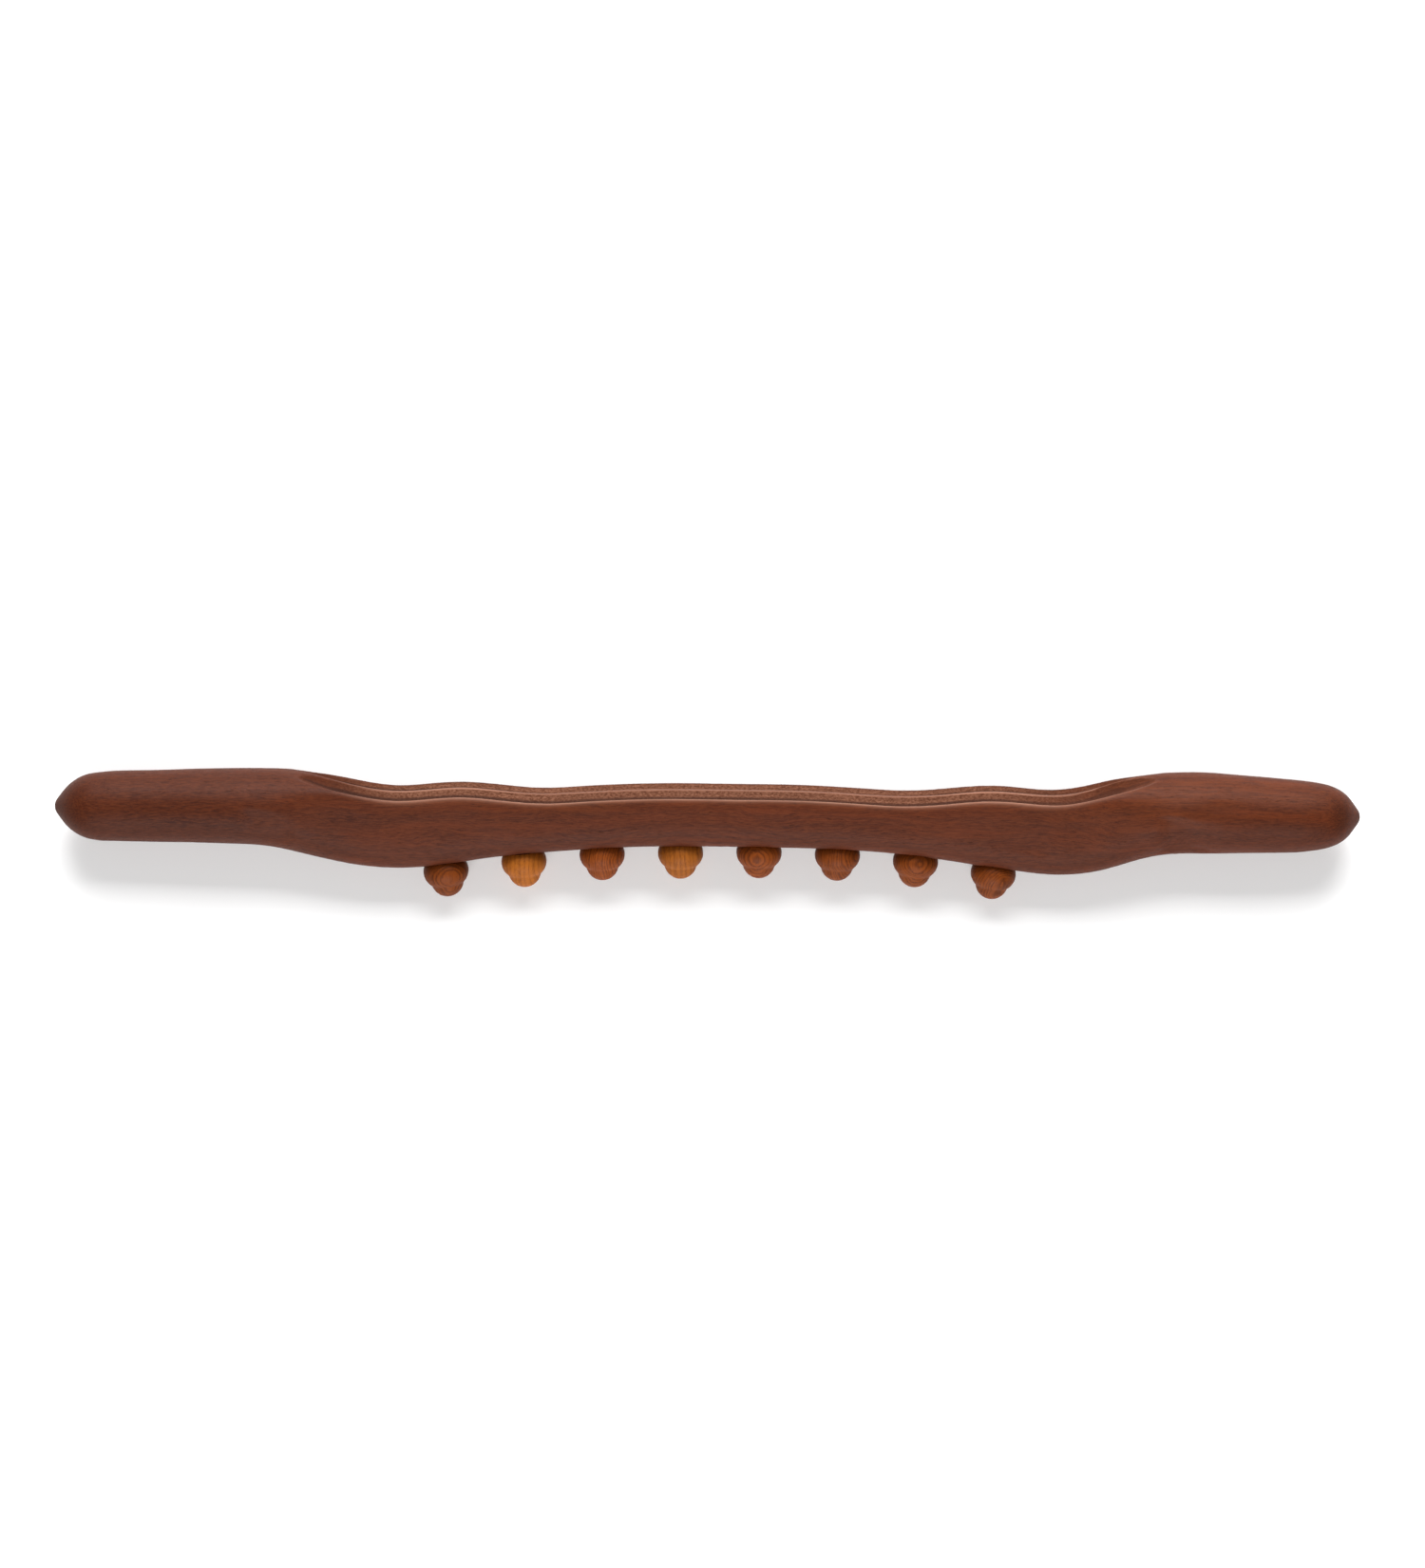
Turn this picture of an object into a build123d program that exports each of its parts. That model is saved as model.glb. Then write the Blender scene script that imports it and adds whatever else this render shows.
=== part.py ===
"""Carved wooden massage stick: one hand-shaped bar with two handles and eight turned beads.

The stick is designed upright: X runs along it, Z points from the beads to the grooved back.
At the end it is laid on its side, the way it rests on a table, and written in that pose:
+X along the stick, +Y towards the grooved back, +Z up, lowest point on Z = 0.
"""
from build123d import *
import os
from math import cos, hypot, radians, sin

# ---- driving dimensions, millimetres and degrees ----
LENGTH = 530.0             # tip to tip

GROOVE_OFFSET = 6.4        # each groove's centre line from the middle plane
GROOVE_RADIUS = 7.5        # round-nosed cutter
GROOVE_DEPTH = 2.3         # below the two outer lips
CROWN = 0.4                # middle ridge above the two outer lips
LIP_SET_IN = 1.0           # outer lip's corner, in from the side
LIP_DROP = 0.5             # and below the crown

# Curves of the bar's section, each as (on a round section, on a lipped one).
# Pulls are shares of the chord or half width that a curve's handle reaches along.
CORNER_ANGLE = 50.0        # where the back meets the flank on a round section
LIP_HEADING = (8.0, -7.0)  # direction in which a lip turns over into the flank
WIDEST_LIFT = 0.5          # a lipped section is widest a little above its middle
CROWN_PULL = (0.35, 0.45)
CORNER_IN_PULL = (0.35, 0.10)
CORNER_OUT_PULL = (0.345, 0.12)
SIDE_PULL = (0.345, 0.50)
BELLY_PULL = (0.552, 0.70)  # 0.552 makes an ellipse

BEAD_COUNT = 8
BEAD_PITCH = 32.0
BEAD_ROW_CENTRE = 5.2      # middle of the row of beads, along X
BEAD_SEATS = [-21.3, -17.0, -13.8, -12.9, -12.4, -13.2, -15.7, -20.5]   # seat height, each bead
BEAD_LEANS = [8.0, 4.5, 2.0, 0.5, -0.5, -2.0, -4.5, -8.0]               # lean towards the middle

BALL_RADIUS = 6.65         # bead's nose
BALL_BELOW_SEAT = 8.8      # nose centre below the seat
SHOULDER_ABOVE_BALL = 4.05
SHOULDER_ROUND = 6.6       # shoulder's rounding
SHOULDER_RING = 2.6        # radius of the ring that the rounding is centred on
TENON_RADIUS = 4.0
TENON_LENGTH = 11.5
TENON_CHAMFER = 0.8
GLUE_GAP = 0.05
BORE_DEPTH = 12.0
SEAT_RADIUS = 8.8          # counterbore that the bead's shoulder sits in
SEAT_CUT_LENGTH = 14.0

REST_ROLL = 15.7           # how far the beads dip below level when the stick lies on its side

# Stations of the bar: x, top, bottom, half width, squareness of the back (0 round, 1 lipped).
# The first and last stations lie past the tips, and the turned noses trim them.
STATIONS = [
    (-273, 14.2, -13.9, 14.1, 0.0),
    (-258, 14.3, -14.0, 14.2, 0.0),
    (-243, 14.5, -14.1, 14.4, 0.0),
    (-229, 14.8, -14.2, 14.8, 0.0),
    (-216, 15.2, -14.3, 15.4, 0.0),
    (-203, 15.7, -14.4, 16.1, 0.0),
    (-190, 16.0, -14.7, 16.4, 0.0),
    (-176, 16.0, -15.9, 15.8, 0.05),
    (-163, 14.8, -18.8, 14.9, 0.35),
    (-151, 11.8, -21.4, 13.9, 0.8),
    (-139, 8.8, -23.4, 13.4, 1.0),
    (-125, 7.4, -24.2, 13.1, 1.0),
    (-112, 8.3, -23.3, 13.3, 1.0),
    (-100, 9.1, -21.5, 13.3, 1.0),
    (-85, 8.1, -19.0, 13.3, 1.0),
    (-68, 6.8, -17.1, 13.3, 1.0),
    (-50, 7.7, -15.5, 13.3, 1.0),
    (-33, 8.7, -14.5, 13.3, 1.0),
    (-15, 9.2, -13.9, 13.3, 1.0),
    (10, 9.1, -13.9, 13.3, 1.0),
    (38, 8.9, -14.2, 13.3, 1.0),
    (62, 7.7, -15.1, 13.3, 1.0),
    (80, 6.9, -16.6, 13.3, 1.0),
    (97, 7.9, -19.0, 13.3, 1.0),
    (114, 9.3, -21.7, 13.3, 1.0),
    (128, 8.6, -23.6, 13.1, 1.0),
    (141, 7.9, -24.8, 13.0, 1.0),
    (153, 9.6, -24.2, 13.3, 0.95),
    (165, 13.8, -21.5, 14.5, 0.6),
    (178, 16.6, -17.5, 15.6, 0.15),
    (191, 17.5, -15.7, 16.3, 0.0),
    (203, 17.5, -15.4, 16.3, 0.0),
    (216, 16.7, -15.2, 15.8, 0.0),
    (229, 15.6, -15.0, 15.1, 0.0),
    (243, 14.6, -14.7, 14.6, 0.0),
    (258, 14.4, -14.4, 14.3, 0.0),
    (273, 14.2, -14.2, 14.2, 0.0),
]

# Where each groove's cutter runs in and out: x and height of the groove's floor.
RUN_OUT_LEFT = [(-186, 21.0), (-174, 17.0), (-164, 13.6), (-151, 8.9)]
RUN_OUT_RIGHT = [(165, 10.2), (173, 12.9), (181, 15.6), (193, 20.0)]

# Turned noses: distance from the tip and radius. The last point flares past the handle.
LEFT_NOSE = [(0, 0), (1.6, 3.9), (5.0, 8.1), (9.5, 11.5), (14.0, 13.3), (19.0, 14.05), (40.0, 16.2)]
RIGHT_NOSE = [(0, 0), (1.6, 3.9), (5.0, 8.3), (10.0, 11.7), (16.0, 13.5), (24.0, 14.6), (45.0, 16.6)]
NOSE_FLARE = 0.1           # slope at which a nose leaves the handle
CLEAR_RADIUS = 40.0        # turning leaves everything between the noses alone
CLEAR_HALF_LENGTH = 150.0


# ---- the bar ----
def mix(first, second, share):
    return first + (second - first) * share


def section(x, top, bottom, half_width, lipped):
    """Outline across the bar: round below, and above anything from round to flat with two lips."""
    widest = (top + bottom) / 2 + WIDEST_LIFT * lipped
    rise, fall = top - widest, widest - bottom
    corner = radians(CORNER_ANGLE)
    corner_y = mix(half_width * sin(corner), half_width - LIP_SET_IN, lipped)
    corner_z = mix(widest + rise * cos(corner), top - LIP_DROP, lipped)
    heading_y = mix(half_width * cos(corner), LIP_HEADING[0], lipped)
    heading_z = mix(-rise * sin(corner), LIP_HEADING[1], lipped)
    size = hypot(heading_y, heading_z)
    heading_y, heading_z = heading_y / size, heading_z / size
    back = hypot(corner_y, top - corner_z)      # chords from crown to corner to widest point
    flank = hypot(half_width - corner_y, corner_z - widest)
    crown_pull = mix(*CROWN_PULL, lipped) * back
    corner_in = mix(*CORNER_IN_PULL, lipped) * back
    corner_out = mix(*CORNER_OUT_PULL, lipped) * flank
    side_up = mix(*SIDE_PULL, lipped) * flank
    fullness = mix(*BELLY_PULL, lipped)
    half = [
        [(0, top), (crown_pull, top),
         (corner_y - corner_in * heading_y, corner_z - corner_in * heading_z), (corner_y, corner_z)],
        [(corner_y, corner_z),
         (corner_y + corner_out * heading_y, corner_z + corner_out * heading_z),
         (half_width, widest + side_up), (half_width, widest)],
        [(half_width, widest), (half_width, widest - fullness * fall),
         (fullness * half_width, bottom), (0, bottom)],
    ]
    right = [Bezier(*[(x, y, z) for y, z in curve]) for curve in half]
    left = [Bezier(*[(x, -y, z) for y, z in reversed(curve)]) for curve in reversed(half)]
    return Face(Wire(right + left))


def turned_envelope():
    """Solid of revolution that trims the carved bar to its two blunt turned noses."""
    left = [(d - LENGTH / 2, 0, r) for d, r in LEFT_NOSE]
    right = [(LENGTH / 2 - d, 0, r) for d, r in RIGHT_NOSE]
    clear = [(-CLEAR_HALF_LENGTH, 0, CLEAR_RADIUS), (CLEAR_HALF_LENGTH, 0, CLEAR_RADIUS)]
    outline = [
        Spline(left, tangents=[(0, 0, 1), (1, 0, NOSE_FLARE)]),
        Polyline(left[-1], *clear, right[-1]),
        Spline(right, tangents=[(0, 0, 1), (-1, 0, NOSE_FLARE)]),
        Line(left[0], right[0]),
    ]
    return revolve(make_face(outline), Axis.X)


def groove(side):
    """Round-nosed cutter following the wave of the back, rising out of the wood at both ends."""
    level = [(x, top - CROWN - GROOVE_DEPTH) for x, top, _, _, lipped in STATIONS if lipped == 1]
    circles = []
    for x, floor in RUN_OUT_LEFT + level + RUN_OUT_RIGHT:
        across = Plane(origin=(x, side * GROOVE_OFFSET, floor + GROOVE_RADIUS),
                       x_dir=(0, 1, 0), z_dir=(1, 0, 0))
        circles.append(across * Circle(GROOVE_RADIUS))
    return loft(circles)


# ---- the beads ----
def bead_places():
    """Seat of each bead, with Z pointing down out of the bar, square to its underside."""
    middle = (BEAD_COUNT - 1) / 2
    return [Location((BEAD_ROW_CENTRE + (index - middle) * BEAD_PITCH, 0, seat), (180, lean, 0))
            for index, (seat, lean) in enumerate(zip(BEAD_SEATS, BEAD_LEANS))]


def bead():
    """Turned bead: bun-shaped shoulder, ball nose and the tenon that is glued into the bar."""
    shoulder = Pos(SHOULDER_RING, BALL_BELOW_SEAT - SHOULDER_ABOVE_BALL) * Circle(SHOULDER_ROUND)
    nose = Pos(0, BALL_BELOW_SEAT) * Circle(BALL_RADIUS)
    outside = Rectangle(2 * SEAT_RADIUS, 2 * BEAD_PITCH, align=Align.MIN)
    head = revolve(Plane.XZ * ((shoulder + nose) & outside), Axis.Z)
    tenon = Cylinder(TENON_RADIUS, TENON_LENGTH, align=(Align.CENTER, Align.CENTER, Align.MAX))
    return head + chamfer(tenon.edges().group_by(Axis.Z)[0], TENON_CHAMFER)


def bead_socket():
    """What is bored out of the bar for one bead: blind tenon bore and a shallow seat."""
    bore = Cylinder(TENON_RADIUS + GLUE_GAP, BORE_DEPTH,
                    align=(Align.CENTER, Align.CENTER, Align.MAX))
    seat = Cylinder(SEAT_RADIUS, SEAT_CUT_LENGTH, align=(Align.CENTER, Align.CENTER, Align.MIN))
    return bore + seat


def stick_body(places):
    """The bar: carved blank, turned noses, two grooves along the back, eight sockets below."""
    blank = loft([section(*station) for station in STATIONS])
    body = blank & turned_envelope()
    for side in (-1, 1):
        body -= groove(side)
    for place in places:
        body -= place * bead_socket()
    return body


# ---- the whole stick, laid on its side ----
def lay_down(parts):
    """Roll the stick onto its handles and end beads, centred over the table at Z = 0."""
    tipped = {name: Rot(REST_ROLL - 90, 0, 0) * shape for name, shape in parts.items()}
    box = Compound(list(tipped.values())).bounding_box()
    to_table = Pos(-box.center().X, -box.center().Y, -box.min.Z)
    return {name: to_table * shape for name, shape in tipped.items()}


places = bead_places()
upright = {"stick_body": stick_body(places)}
for number, place in enumerate(places, 1):
    upright[f"bead_peg_{number}"] = place * bead()

os.makedirs("parts", exist_ok=True)
for name, shape in lay_down(upright).items():
    export_step(shape, f"parts/{name}.step")
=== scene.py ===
"""Looks of the carved wooden massage stick: bar and beads as finished wood, on a pale table."""

from math import acos, cos, pi, radians, sin, sqrt

import bpy
import numpy as np
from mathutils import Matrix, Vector
from mathutils.bvhtree import BVHTree


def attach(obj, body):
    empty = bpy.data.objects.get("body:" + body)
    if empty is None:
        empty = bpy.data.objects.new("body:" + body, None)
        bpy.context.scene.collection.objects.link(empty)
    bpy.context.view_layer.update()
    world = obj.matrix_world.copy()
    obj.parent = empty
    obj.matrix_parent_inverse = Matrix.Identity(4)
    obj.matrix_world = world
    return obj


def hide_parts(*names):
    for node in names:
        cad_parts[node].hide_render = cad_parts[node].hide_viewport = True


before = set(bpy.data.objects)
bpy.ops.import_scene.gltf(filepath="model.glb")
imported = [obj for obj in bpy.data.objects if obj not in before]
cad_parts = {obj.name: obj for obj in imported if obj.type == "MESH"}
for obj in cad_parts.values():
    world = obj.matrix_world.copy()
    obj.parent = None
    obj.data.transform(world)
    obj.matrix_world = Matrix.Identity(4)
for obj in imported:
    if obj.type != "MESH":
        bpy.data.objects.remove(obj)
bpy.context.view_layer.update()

MM = 0.001
BEADS = [f"bead_peg_{number}" for number in range(1, 9)]
AMBER_BEADS = ("bead_peg_2", "bead_peg_4")

# ---- how the stick lies ----
REST_ROLL = radians(15.7)                 # the grooved back turns up by this much
BACK = np.array([0.0, cos(REST_ROLL), sin(REST_ROLL)])     # out of the grooved back
FLANK = np.array([0.0, -sin(REST_ROLL), cos(REST_ROLL)])   # out of the flank that faces up


def node_mesh(name):
    """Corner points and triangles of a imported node, in metres."""
    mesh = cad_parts[name].data
    mesh.calc_loop_triangles()
    points = np.array([v.co for v in mesh.vertices], float)
    triangles = np.array([t.vertices for t in mesh.loop_triangles], int)
    return points, triangles


STICK_POINTS, STICK_TRIANGLES = node_mesh("stick_body")
LEFT_TIP = STICK_POINTS[STICK_POINTS[:, 0].argmin()]
RIGHT_TIP = STICK_POINTS[STICK_POINTS[:, 0].argmax()]
AXIS_POINT = (LEFT_TIP + RIGHT_TIP) / 2   # middle of the line from tip to tip

# ---- camera: straight above the stick, as on a copy stand ----
LENS_MM, SENSOR_MM = 180.0, 36.0
COVERED_HEIGHT = 636.5 * MM               # what the camera covers, at the level of the tips
CAMERA_ASIDE = 2.0 * MM
CAMERA_TOWARDS_BACK = 11.1 * MM
CAMERA_TURN = radians(0.484)


def add_camera():
    data = bpy.data.cameras.new("copy_stand_camera")
    data.lens = LENS_MM
    data.sensor_fit = "VERTICAL"
    data.sensor_height = SENSOR_MM
    camera = bpy.data.objects.new("copy_stand_camera", data)
    bpy.context.scene.collection.objects.link(camera)
    distance = COVERED_HEIGHT * LENS_MM / SENSOR_MM
    camera.location = (AXIS_POINT[0] + CAMERA_ASIDE, AXIS_POINT[1] + CAMERA_TOWARDS_BACK,
                       AXIS_POINT[2] + distance)
    camera.rotation_euler = (0, 0, CAMERA_TURN)
    bpy.context.scene.camera = camera


add_camera()
bpy.context.scene.view_settings.view_transform = "Standard"


# ---- small helpers for materials ----
class Wiring:
    """Adds nodes to one node tree and links them by socket name."""

    def __init__(self, tree):
        self.tree = tree

    def node(self, kind, settings=None, **inputs):
        made = self.tree.nodes.new(kind)
        for key, value in (settings or {}).items():
            setattr(made, key, value)
        for key, value in inputs.items():
            self.feed(made.inputs[key.replace("_", " ")], value)
        return made

    def feed(self, socket, value):
        if isinstance(value, bpy.types.NodeSocket):
            self.tree.links.new(value, socket)
        else:
            socket.default_value = value

    def sum(self, operation, *values, clamp=False):
        made = self.tree.nodes.new("ShaderNodeMath")
        made.operation, made.use_clamp = operation, clamp
        for socket, value in zip(made.inputs, values):
            self.feed(socket, value)
        return made.outputs[0]

    def between(self, value, low, high, out_low=0.0, out_high=1.0):
        made = self.tree.nodes.new("ShaderNodeMapRange")
        made.interpolation_type = "SMOOTHSTEP"
        for socket, entry in zip(made.inputs, (value, low, high, out_low, out_high)):
            self.feed(socket, entry)
        return made.outputs[0]

    def mix(self, share, first, second):
        made = self.tree.nodes.new("ShaderNodeMix")
        made.data_type, made.blend_type = "RGBA", "MIX"
        self.feed(made.inputs["Factor"], share)
        self.feed(made.inputs[6], first)
        self.feed(made.inputs[7], second)
        return made.outputs[2]

    def scaled(self, vector, share):
        made = self.node("ShaderNodeVectorMath", {"operation": "SCALE"})
        self.feed(made.inputs[0], vector)
        self.feed(made.inputs["Scale"], share)
        return made.outputs[0]

    def stretched(self, vector, scale):
        made = self.tree.nodes.new("ShaderNodeVectorMath")
        made.operation = "MULTIPLY"
        self.feed(made.inputs[0], vector)
        self.feed(made.inputs[1], scale)
        return made.outputs[0]

    def noise(self, vector, scale, detail=2.0, roughness=0.5):
        made = self.node("ShaderNodeTexNoise", Vector=vector, Scale=scale, Detail=detail,
                         Roughness=roughness)
        return made.outputs["Fac"]


def group(name, inputs, outputs):
    """A new shader group: {input: default} and output names, with its wiring."""
    tree = bpy.data.node_groups.new(name, "ShaderNodeTree")
    kinds = {float: "NodeSocketFloat", tuple: "NodeSocketVector"}
    for label, default in inputs.items():
        socket = tree.interface.new_socket(label, in_out="INPUT", socket_type=kinds[type(default)])
        socket.default_value = default
    for label in outputs:
        tree.interface.new_socket(label, in_out="OUTPUT", socket_type="NodeSocketFloat")
    return tree, Wiring(tree), tree.nodes.new("NodeGroupInput"), tree.nodes.new("NodeGroupOutput")


def use(wiring, tree, **inputs):
    """Places a shader group in a material with that material's own values."""
    made = wiring.tree.nodes.new("ShaderNodeGroup")
    made.node_tree = tree
    for key, value in inputs.items():
        wiring.feed(made.inputs[key.replace("_", " ")], value)
    return made


# ---- shared wood effects. Their vector is in millimetres, with X along the fibres ----
def fibre_group():
    """Lengthwise grain: broad bands, thin dark streaks and hair-fine fibres."""
    tree, w, start, end = group(
        "wood_fibres", {"Fibre": (0.0, 0.0, 0.0), "Wander": 1.0}, ["Bands", "Streaks", "Hairs"])
    bend = w.noise(w.stretched(start.outputs["Fibre"], (0.02, 0.05, 0.05)), 1.0, 2.0)
    sway = w.sum("MULTIPLY", w.sum("SUBTRACT", bend, 0.5), w.sum("MULTIPLY", start.outputs["Wander"], 9.0))
    offset = w.node("ShaderNodeCombineXYZ", Y=sway, Z=sway)
    bent = w.tree.nodes.new("ShaderNodeVectorMath")
    w.feed(bent.inputs[0], start.outputs["Fibre"])
    w.feed(bent.inputs[1], offset.outputs[0])
    path = bent.outputs[0]
    bands = w.noise(w.stretched(path, (0.012, 0.16, 0.16)), 1.0, 3.0, 0.55)
    streaks = w.noise(w.stretched(path, (0.024, 0.75, 0.75)), 1.0, 4.0, 0.66)
    hairs = w.noise(w.stretched(path, (0.24, 2.6, 2.6)), 1.0, 3.0, 0.72)
    w.feed(end.inputs["Bands"], w.between(bands, 0.32, 0.68))
    w.feed(end.inputs["Streaks"], w.between(streaks, 0.34, 0.66))
    w.feed(end.inputs["Hairs"], w.between(hairs, 0.36, 0.64))
    return tree


def pore_group():
    """Open pores: short dark dashes along the fibres."""
    tree, w, start, end = group(
        "wood_pores", {"Fibre": (0.0, 0.0, 0.0), "Length": 2.6, "Width": 0.22, "Amount": 0.4},
        ["Pores"])
    along = w.sum("DIVIDE", 1.0, start.outputs["Length"])
    across = w.sum("DIVIDE", 1.0, start.outputs["Width"])
    scale = w.node("ShaderNodeCombineXYZ", X=along, Y=across, Z=across)
    dashes = w.noise(w.stretched(start.outputs["Fibre"], scale.outputs[0]), 1.0, 1.0, 0.5)
    rarity = w.noise(w.stretched(start.outputs["Fibre"], (0.05, 0.35, 0.35)), 1.0, 1.0)
    threshold = w.sum("SUBTRACT", 0.74, w.sum("MULTIPLY", start.outputs["Amount"],
                                              w.sum("MULTIPLY", rarity, 0.3)))
    w.feed(end.inputs["Pores"], w.between(dashes, threshold, w.sum("ADD", threshold, 0.08)))
    return tree


def ring_group():
    """Growth rings: layers along Z of the fibre vector, each fading from pale to dark."""
    tree, w, start, end = group(
        "growth_rings", {"Fibre": (0.0, 0.0, 0.0), "Spacing": 1.2, "Wobble": 0.5}, ["Rings"])
    parts = w.node("ShaderNodeSeparateXYZ", Vector=start.outputs["Fibre"])
    wobble = w.noise(w.stretched(start.outputs["Fibre"], (0.05, 0.13, 0.13)), 1.0, 2.0)
    fine = w.noise(w.stretched(start.outputs["Fibre"], (0.22, 0.7, 0.7)), 1.0, 3.0, 0.6)
    years = w.noise(w.stretched(start.outputs["Fibre"], (0.0, 0.0, 0.45)), 1.0, 2.0)
    sway = w.sum("ADD", w.sum("MULTIPLY", wobble, 8.0), w.sum("MULTIPLY", fine, 1.6))
    depth = w.sum("ADD", parts.outputs["Z"], w.sum("MULTIPLY", start.outputs["Wobble"], sway))
    depth = w.sum("ADD", depth, w.sum("MULTIPLY", years, 3.2))
    layer = w.sum("FRACT", w.sum("DIVIDE", depth, start.outputs["Spacing"]))
    rise = w.between(layer, 0.30, 0.86)
    fall = w.between(layer, 0.90, 1.0, 1.0, 0.0)
    w.feed(end.inputs["Rings"], w.sum("MULTIPLY", rise, fall))
    return tree


def mottle_group():
    """Cloudy variation from handling, oil and heat treatment."""
    tree, w, start, end = group(
        "wood_mottle", {"Place": (0.0, 0.0, 0.0), "Size": 30.0}, ["Cloud", "Speckle"])
    sized = w.scaled(start.outputs["Place"], w.sum("DIVIDE", 1.0, start.outputs["Size"]))
    w.feed(end.inputs["Cloud"], w.between(w.noise(sized, 1.0, 3.0, 0.55), 0.33, 0.67))
    w.feed(end.inputs["Speckle"], w.noise(start.outputs["Place"], 1.6, 2.0, 0.7))
    return tree


def patch_group():
    """One ragged patch of differently coloured wood, drawn out along the fibres."""
    tree, w, start, end = group(
        "tone_patch",
        {"Place": (0.0, 0.0, 0.0), "Middle": (0.0, 0.0, 0.0), "Reach": (60.0, 8.0, 40.0), "Ragged": 0.8},
        ["Mask"])
    from_middle = w.node("ShaderNodeVectorMath", {"operation": "SUBTRACT"})
    w.feed(from_middle.inputs[0], start.outputs["Place"])
    w.feed(from_middle.inputs[1], start.outputs["Middle"])
    shares = w.node("ShaderNodeVectorMath", {"operation": "DIVIDE"})
    w.feed(shares.inputs[0], from_middle.outputs[0])
    w.feed(shares.inputs[1], start.outputs["Reach"])
    length = w.node("ShaderNodeVectorMath", {"operation": "LENGTH"})
    w.feed(length.inputs[0], shares.outputs[0])
    edge = w.noise(w.stretched(start.outputs["Place"], (0.03, 0.3, 0.3)), 1.0, 3.0, 0.6)
    uneven = w.sum("MULTIPLY", w.sum("SUBTRACT", edge, 0.5),
                   w.sum("MULTIPLY", start.outputs["Ragged"], 2.4))
    away = w.sum("ADD", length.outputs["Value"], uneven)
    w.feed(end.inputs["Mask"], w.between(away, 0.45, 1.15, 1.0, 0.0))
    return tree


FIBRES = fibre_group()
PORES = pore_group()
RINGS = ring_group()
MOTTLE = mottle_group()
PATCH = patch_group()


def new_material(name):
    material = bpy.data.materials.new(name)
    material.use_nodes = True
    material.node_tree.nodes.clear()
    wiring = Wiring(material.node_tree)
    shader = wiring.node("ShaderNodeBsdfPrincipled")
    out = wiring.node("ShaderNodeOutputMaterial")
    material.node_tree.links.new(shader.outputs[0], out.inputs["Surface"])
    return material, wiring, shader


def rgb(red, green, blue):
    return (red, green, blue, 1.0)


def shade(colour, share):
    return rgb(*[part * share for part in colour])


# Where the bar's colour changes: (middle, reach) in millimetres, share, colour. Most are the wood's own
# tone; the nose patches marked below are painted shade and a painted reflection
STICK_TONES = [
    ((-205.0, 8.0, 30.0), (58.0, 9.0, 16.0), 0.65, (0.022, 0.0042, 0.0016)),
    ((-215.0, 20.0, 28.0), (62.0, 4.5, 20.0), 0.65, (0.098, 0.0210, 0.0045)),
    ((-158.0, 17.0, 28.0), (22.0, 7.0, 16.0), 0.55, (0.045, 0.0120, 0.0060)),
    ((-60.0, 11.0, 30.0), (26.0, 4.0, 14.0), 0.35, (0.120, 0.0310, 0.0080)),
    ((205.0, 18.0, 28.0), (60.0, 8.0, 20.0), 0.60, (0.125, 0.0280, 0.0060)),
    ((178.0, 7.0, 30.0), (50.0, 6.0, 18.0), 0.40, (0.095, 0.0200, 0.0046)),
    ((232.0, 4.0, 30.0), (16.0, 3.0, 12.0), 0.45, (0.038, 0.0085, 0.0035)),
    # painted shade: the left nose tip darkened, and on the next line a dark crease on the right nose
    ((-264.0, 9.0, 16.0), (11.0, 60.0, 60.0), 0.70, (0.016, 0.0042, 0.0022)),
    ((257.0, 9.0, 30.0), (4.5, 8.0, 16.0), 0.70, (0.018, 0.0048, 0.0024)),
    # painted reflection: a grey sheen over the right tip
    ((267.0, 9.0, 16.0), (4.0, 60.0, 60.0), 0.50, (0.060, 0.0230, 0.0130)),
    ((-112.0, 4.0, 28.0), (88.0, 26.0, 26.0), 0.42, (0.050, 0.0092, 0.0026)),
    ((-216.0, 4.0, 26.0), (90.0, 70.0, 70.0), 0.75, (0.038, 0.0066, 0.0019)),
]

# Painted shade where a groove is deep: shares of the full depth where that starts and ends.
GROOVE_SHADE_FROM, GROOVE_SHADE_FULL = 0.74, 0.92


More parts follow.
